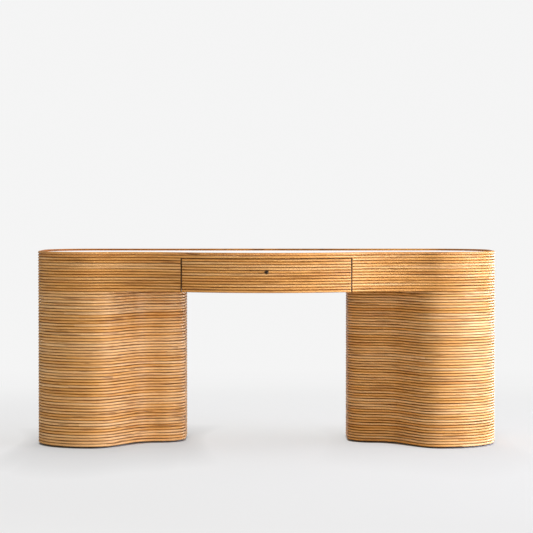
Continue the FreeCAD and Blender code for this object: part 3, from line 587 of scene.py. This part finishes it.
def addEnds(faces, shape, shift, length):
    # each cut end is a ladder of quads between the lower and upper half of the section
    quads, uv, faceRow, isFlat = faces
    rows, count, around = shape[:3]
    rung = np.arange(around // 2 - 1)
    ladder = np.stack([rung, rung + 1, around - 2 - rung, around - 1 - rung], -1)
    for step, flip in ((0, False), (count - 1, True)):
        ring = ladder[:, ::-1] if flip else ladder
        first = (np.arange(rows) * count + step) * around
        ends = (first[:, None, None] + ring[None]).reshape(-1, 4)
        owner = np.repeat(np.arange(rows), len(rung))
        patch = np.zeros((len(ends), 4, 2))
        patch[..., 0] = (length[step] + shift[owner])[:, None]
        patch[..., 1] = 1.0  # the cut ends take the painted shade too
        quads, uv = np.concatenate([quads, ends]), np.concatenate([uv, patch])
        faceRow = np.concatenate([faceRow, owner])
        isFlat = np.concatenate([isFlat, np.ones(len(ends), bool)])
    return quads, uv, faceRow, isFlat


def fillMesh(name, verts, quads, uv=None, tone=None, smooth=None):
    # quads as a new piece, with the grain's UV and each face's tone where they are given
    mesh = bpy.data.meshes.new(name)
    mesh.vertices.add(len(verts))
    mesh.vertices.foreach_set("co", verts.astype(np.float32).ravel())
    mesh.loops.add(quads.size)
    mesh.loops.foreach_set("vertex_index", quads.astype(np.int32).ravel())
    mesh.polygons.add(len(quads))
    mesh.polygons.foreach_set("loop_start", np.arange(0, quads.size, 4, dtype=np.int32))
    if smooth is None:
        smooth = np.ones(len(quads), bool)
    mesh.polygons.foreach_set("use_smooth", smooth)
    if uv is not None:
        layer = mesh.uv_layers.new(name="reed")
        layer.data.foreach_set("uv", uv.astype(np.float32).ravel())
    if tone is not None:
        mark = mesh.attributes.new("tone", "FLOAT", "FACE")
        mark.data.foreach_set("value", tone.astype(np.float32))
    mesh.update(calc_edges=True)
    mesh.validate()
    piece = bpy.data.objects.new(name, mesh)
    bpy.context.scene.collection.objects.link(piece)
    return piece


def dress(piece, finish, slot, body, *replaced):
    # a new piece's finish and body, and the node it stands for; the slot is not used
    piece.data.materials.clear()
    piece.data.materials.append(finishes[finish])
    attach(piece, body)
    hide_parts(*replaced)


def stackLevels(node):  # middle heights of a node's rows, and their pitch
    low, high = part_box(node)
    rows = reeds["rows"][node]
    pitch = (high.z - low.z + reeds["gap"]) / rows
    return [low.z - reeds["gap"] / 2 + pitch * (k + 0.5) for k in range(rows)], pitch


def makePedestalReeds(node, side, seed):
    # half-round rings, stacked from the floor to the apron
    levels, pitch = stackLevels(node)
    piece = sweepReeds(node + "_cane", pedestalRing(side), halfRound(pitch), levels, True, seed,
                       tones=reeds["pedestalLitTones"])
    dress(piece, "rattan", "rattan", "desk", node)


def makeApronReeds(seed):
    # rows that stop at the drawer bay, and a whole ring over it
    node = "apron_reeds"
    levels, pitch = stackLevels(node)
    low = sweepReeds("apron_cane", apronRun(), halfRound(pitch), levels[:-1], False, seed,
                     plan["bayHalf"] + plan["cutBack"])
    dress(low, "rattan", "rattan", "desk", node)
    rail = sweepReeds("rail_cane", deskRing(), halfRound(pitch), levels[-1:], True, seed + 1)
    dress(rail, "rattan", "rattan", "desk", node)


def makeRim(seed):
    # one round reed on the ring of the desk
    low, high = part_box("rim_reed")
    size = high.z - low.z
    piece = sweepReeds("rim_cane", deskRing(), fullRound(size), [(low.z + high.z) / 2], True, seed,
                       across=reeds["rimAcross"], tones=reeds["rimTones"])
    dress(piece, "rattan", "rattan", "desk", "rim_reed")


def makeDrawerReeds(seed):
    # rows cut square at both ends of the drawer front
    node = "drawer_front_reeds"
    levels, pitch = stackLevels(node)
    piece = sweepReeds("drawer_cane", bowRun(), halfRound(pitch), levels, False, seed,
                       plan["frontHalf"] - plan["cutBack"])
    dress(piece, "rattan", "rattan", "drawer", node)


makePedestalReeds("pedestal_reeds_left", -1, reeds["seed"])
makePedestalReeds("pedestal_reeds_right", 1, reeds["seed"] + 10)
makeApronReeds(reeds["seed"] + 20)
makeRim(reeds["seed"] + 30)
makeDrawerReeds(reeds["seed"] + 40)
print("reeds swept")


# knob
knob = {
    "around": 48,
    "between": 3,  # rings from one mark to the next
    "point": 1e-4,  # least share of the radius, at both ends of the axis
    "profile": [  # share of the length from the tip, share of the head's radius
        (0.0, 0.0), (0.004, 0.25), (0.03, 0.58), (0.10, 0.84), (0.20, 0.97), (0.29, 1.0),
        (0.38, 0.94), (0.45, 0.78), (0.51, 0.60), (0.58, 0.52), (0.68, 0.52), (0.74, 0.56),
        (0.77, 0.60), (0.80, 0.6), (0.99, 0.6), (1.0, 0.58), (1.0, 0.0),
    ],
}


def makeKnob():
    # turned shape: radius along Y from the tip, carried round the knob's axis
    low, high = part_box("drawer_knob")
    reach, head = high.y - low.y, (high.x - low.x) / 2
    middle = (low.z + high.z) / 2
    marks = np.array(knob["profile"])
    t = np.linspace(0, len(marks) - 1, (len(marks) - 1) * knob["between"] + 1)
    y = low.y + reach * np.interp(t, np.arange(len(marks)), marks[:, 0])
    r = head * np.maximum(np.interp(t, np.arange(len(marks)), marks[:, 1]), knob["point"])
    angle = np.linspace(0, 2 * math.pi, knob["around"], endpoint=False)
    verts = np.stack([r[:, None] * np.cos(angle), np.repeat(y[:, None], len(angle), 1),
                      middle + r[:, None] * np.sin(angle)], -1)
    n = len(angle)
    ring, spoke = np.indices((len(t) - 1, n))
    nextSpoke = (spoke + 1) % n
    quads = np.stack([ring * n + spoke, (ring + 1) * n + spoke, (ring + 1) * n + nextSpoke,
                      ring * n + nextSpoke], -1).reshape(-1, 4)
    piece = fillMesh("knob_turning", verts.reshape(-1, 3), quads)
    dress(piece, "bronze", "bronze", "drawer", "drawer_knob")


makeKnob()
print("knob turned")


# finishes of the carried-over pieces
nodeFinish = {
    "desktop_glass": "glass", "glass_pads": "clearPad", "top_panel": "veneer",
    "drawer_side": "drawerWood", "drawer_back": "drawerWood", "drawer_bottom": "drawerWood",
    "slide": "zinc", "knob_screw": "zinc", "pedestal_bolts": "zinc", "pedestal_tee": "zinc",
    "glides": "nylon", "drawer_front_board": "frontBoard",
    # the reeds' backing and the pedestal bases take the painted shade
    "apron_wall": "paintedShade", "pedestal_skin": "paintedShade", "pedestal_base": "paintedShade",
}
bowAxis = (0.0, float(bowCentre[1]), 0.0)
# its outer face behind the drawer reeds is painted dark as the shade seen through the gaps
finishes["frontBoard"] = woodFinish("frontBoard", drawerPale, drawerDeep, 0, 0.45,
                                    (bowAxis, plan["bowRadius"] - reeds["depth"]))


def paintNodes():
    # the first start of a name that fits decides, and the rest is plywood
    for name, piece in nodes.items():
        fits = [value for start, value in nodeFinish.items() if name.startswith(start)]
        finish = fits[0] if fits else "plywood"
        piece.data.materials.clear()
        piece.data.materials.append(finishes[finish])


paintNodes()
print("carried-over pieces painted")


# floor, light and camera
studio = {
    "paper": (0.86, 0.86, 0.86, 1),
    "wallGlow": 0.91,  # what the camera sees of the wall and of the floor
    "floorGlow": 0.85,
    "glossGlow": 0.09,  # added where a gloss looks
    "shadowShare": 0.22,  # how much of the floor's own light and shade shows
    "ownLight": (2.0, 3.2),  # where that fades out, in metres from the middle
    "shadeLeft": 0.27,  # soft shade before each pedestal, stronger away from the key lamp
    "shadeRight": 0.10,
    "shadeTurn": 0.3,  # half the width over which one becomes the other
    "underEdge": ((0.49, 1), (0.51, 0)),  # 0.5 is the edge of a pedestal's footprint
    "shadeReach": ((0.0, 1), (0.25, 0.64), (0.62, 0.38), (1.0, 0)),  # metres off a pedestal
    "shadeBehind": 2.0,  # how much sooner it ends behind
    "shadeBeside": 3.6,  # and beside, for each half width of a pedestal
    "shadeFan": ((0.0, 1), (0.8, 0.3)),  # the share of that further ahead, so it fans out
    "wallSpan": 5.0,  # metres back over which the floor's level turns to the wall's
    "wallRise": ((0.15, 0), (0.8, 1)),  # as shares of that
    "wallFar": (3.5, 8.0),  # and where it does so all round, in metres from the middle
    "card": 1.6,  # half width of the white card that the glass top mirrors
    "cardEdge": ((0.25, 1), (0.4, 0)),  # a quarter is that half width
    "backdropY": 5.0,  # where the floor starts to bend up
    "sweepRadius": 2.0,
    "sweepSteps": 24,
    "sweepHalf": 14.0,  # half the width, and how far the floor comes forward
    "sweepTop": 9.0,
    "worldGlow": 0.30,
    "glassGlow": 1.2,  # what lights the veneer through its glass
}


def paperFinish():
    # paper for the light, but a plain glow where the camera, a gloss or a glass looks at it
    f = Finish("paper", Base_Color=studio["paper"], Roughness=0.9, Specular_IOR_Level=0.1)
    spot = f.place((1, 1, 1))
    along, far = f.axis(spot, 0), f.axis(spot, 1)
    side = f.size(along)
    away = f.node("ShaderNodeVectorMath", {"operation": "LENGTH"}, {0: spot}, 1)
    back = f.ramp(far * (1 / studio["wallSpan"]), *studio["wallRise"])
    wall = f.larger(back, f.remap(away, *studio["wallFar"], 0.0, 1.0))
    under, reach = pedestalShade(f, side, far)
    shade = reach * f.remap(along, -studio["shadeTurn"], studio["shadeTurn"],
                            studio["shadeLeft"], studio["shadeRight"])
    own = under * (1 - studio["shadowShare"]) + studio["shadowShare"]
    own = own * f.remap(away, *studio["ownLight"], 1.0, 0.0)
    card = f.ramp(side * (0.25 / studio["card"]), *studio["cardEdge"])
    seen, gloss, through = f.ray("Camera"), f.ray("Glossy"), f.ray("Transmission")
    level = wall * (studio["wallGlow"] - studio["floorGlow"]) + studio["floorGlow"]
    level = level * (1.0 - shade) + gloss * studio["glossGlow"]
    glow = f.node("ShaderNodeEmission", {}, {"Color": level})
    share = (1.0 - (1.0 - wall) * own) * seen + gloss * card * wall + through
    mixed = f.node("ShaderNodeMixShader", {}, {0: share, 1: Value(f, f.shader.outputs[0]), 2: glow})
    behind = f.node("ShaderNodeNewGeometry", {}, {}, "Backfacing")  # seen through from the back
    clear = f.node("ShaderNodeBsdfTransparent", {}, {})
    paper = f.node("ShaderNodeMixShader", {}, {0: behind, 1: mixed, 2: clear})
    f.tree.links.new(paper.socket, f.tree.nodes["Material Output"].inputs["Surface"])
    return f.material


def pedestalShade(f, side, far):
    # 1 under a pedestal, and a shade that falls with the distance off its rounded footprint
    low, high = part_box("pedestal_reeds_right")
    knee = low.x + plan["innerRadius"]
    turn = f.corner(side - lobeX, plan["endRadius"]) + f.corner(knee - side, plan["innerRadius"])
    face = f.remap(side, lobeX, knee, low.y, low.y + plan["kneeRecess"]) + turn
    ahead = f.larger(face - far, (far - (high.y - turn)) * studio["shadeBehind"])
    beside = f.size(side - (low.x + high.x) / 2) * (2 / (high.x - low.x))  # 1 at its sides
    under = f.ramp(f.larger(ahead * 10.0 + 0.5, beside - 0.5), *studio["underEdge"])
    off = f.larger(ahead, 0.0)
    past = f.larger(beside - 1.0, 0.0) * f.ramp(off, *studio["shadeFan"]) * studio["shadeBeside"]
    return under, f.ramp(f.root(off * off + past * past), *studio["shadeReach"])


def makeSweep():
    # paper sweep: floor, quarter circle, wall, all the same width
    far, radius, half = studio["backdropY"], studio["sweepRadius"], studio["sweepHalf"]
    bend = np.linspace(0, quarter, studio["sweepSteps"])
    y = np.concatenate([[-half], far + radius * np.sin(bend), [far + radius]])
    z = np.concatenate([[0.0], radius - radius * np.cos(bend), [studio["sweepTop"]]])
    x = np.array([-half, half])
    verts = np.stack(np.broadcast_arrays(x[None], y[:, None], z[:, None]), -1)
    k = np.arange(len(y) - 1) * 2
    quads = np.stack([k, k + 1, k + 3, k + 2], -1)
    sweep = fillMesh("sweep", verts.reshape(-1, 3), quads)
    sweep.data.materials.append(paperFinish())


lamps = {
    "key": {
        "place": (4.23, -1.54, 1.1),
        "aim": (0.0, 0.0, 0.45),
        "size": (3.0, 2.0),
        "power": 205.0,
        "tint": (1.0, 1.01, 1.20),
    },
    "fill": {
        "place": (-0.6, -6.0, 1.2),
        "aim": (0.0, 0.0, 0.4),
        "size": (3.2, 2.0),
        "power": 94.0,
        "tint": (1.0, 0.865, 0.66),
    },
    "top": {
        "place": (0.4, 0.9, 4.2),
        "aim": (0.1, 0.4, 0.0),
        "size": (5.0, 4.0),
        "power": 100.0,
    },
    # a gleam only shows in gloss, and stands too low for the glass top to mirror it
    "keyGleam": {
        "place": (4.23, -1.54, 0.55),
        "aim": (0.0, 0.0, 0.45),
        "size": (3.0, 0.9),
        "power": 270.0,
    },
    "edgeGleam": {
        "place": (3.4, 2.6, 0.55),
        "aim": (0.0, 0.0, 0.45),
        "size": (2.5, 0.9),
        "power": 138.0,
    },
}


def makeLamp(name, place, aim, size, power, tint=(1.0, 1.0, 1.0)):
    # an area lamp, tipped and turned from straight down to its aim
    lamp = bpy.data.lights.new(name, "AREA")
    lamp.shape = "RECTANGLE"
    lamp.size, lamp.size_y = size
    lamp.energy = power
    lamp.color = tint
    holder = bpy.data.objects.new(name, lamp)
    bpy.context.scene.collection.objects.link(holder)
    way = np.array(aim) - np.array(place)
    flat = math.hypot(way[0], way[1])
    holder.location = place
    holder.rotation_euler = (math.atan2(flat, -way[2]), 0, math.atan2(-way[0], way[1]))
    holder.visible_camera = False
    holder.visible_transmission = False  # or it shows off the underside of the glass
    holder.visible_glossy = name.endswith("Gleam")
    holder.visible_diffuse = not holder.visible_glossy


def makeWorld():
    # the wall's level for the eye and for gloss, brighter through glass, dim for the rest
    world = bpy.data.worlds.new("studio")
    bpy.context.scene.world = world
    world.use_nodes = True
    sky = Sky(world)
    plain = (sky.ray("Camera") + sky.ray("Glossy")) * (studio["wallGlow"] - studio["worldGlow"])
    behindGlass = sky.ray("Transmission") * (studio["glassGlow"] - studio["worldGlow"])
    sky.feed("Strength", plain + behindGlass + studio["worldGlow"])


view = {
    "place": (0.0, -9.15, 0.963),
    "tilt": 1.662,  # degrees below level
    "lens": 156.8,
    "sensor": 36.0,
    "clipEnd": 100,
}


def makeCamera():
    camera = bpy.data.cameras.new("view")
    camera.lens = view["lens"]
    camera.sensor_width = view["sensor"]
    camera.clip_end = view["clipEnd"]
    holder = bpy.data.objects.new("view", camera)
    holder.location = view["place"]
    holder.rotation_euler = (quarter - math.radians(view["tilt"]), 0, 0)
    bpy.context.scene.collection.objects.link(holder)
    bpy.context.scene.camera = holder


makeSweep()
for lampName, lamp in lamps.items():
    makeLamp(lampName, **lamp)
makeWorld()
makeCamera()
bpy.context.scene.view_settings.view_transform = "Standard"
print("studio lit")
